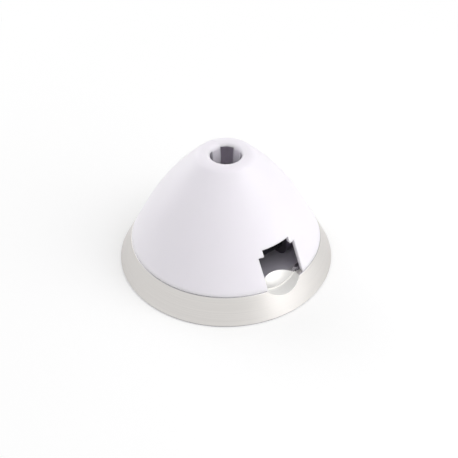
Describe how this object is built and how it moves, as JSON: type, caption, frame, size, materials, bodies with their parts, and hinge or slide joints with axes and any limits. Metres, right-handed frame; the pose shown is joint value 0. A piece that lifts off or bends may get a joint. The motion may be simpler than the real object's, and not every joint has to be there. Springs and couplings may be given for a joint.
{
  "type": "propeller spinner",
  "caption": "Cone-shaped spinner with an air inlet in the nose: white moulded cap on a turned aluminium backplate, with a forked hub and shaft collet inside for a folding propeller.",
  "frame": {"origin": "centre of the backplate's rear face, on the spin axis", "axes": "+Z along the spin axis towards the nose; the blades leave along +Y and -Y"},
  "size_m": [0.0418, 0.0418, 0.0237],
  "materials": {
    "white_plastic": "moulded, satin gloss",
    "bare_aluminium": "turned, fine lathe lines, polished hollows",
    "black_anodised": "black anodised aluminium, satin",
    "collet_steel": "turned steel",
    "zinc_steel": "zinc plated steel",
    "black_steel": "black oxide steel"
  },
  "bodies": {
    "root": {"spinner_cap": "white_plastic", "backplate": "bare_aluminium", "blade_hub": "black_anodised", "shaft_collet": "collet_steel", "collet_washer": "zinc_steel", "collet_nut": "zinc_steel", "cap_screw": "black_steel", "pivot_screw_front": "black_steel", "pivot_screw_rear": "black_steel", "pivot_nut_front": "zinc_steel", "pivot_nut_rear": "zinc_steel", "plate_screw_left": "black_steel", "plate_screw_right": "black_steel"}
  },
  "joints": []
}
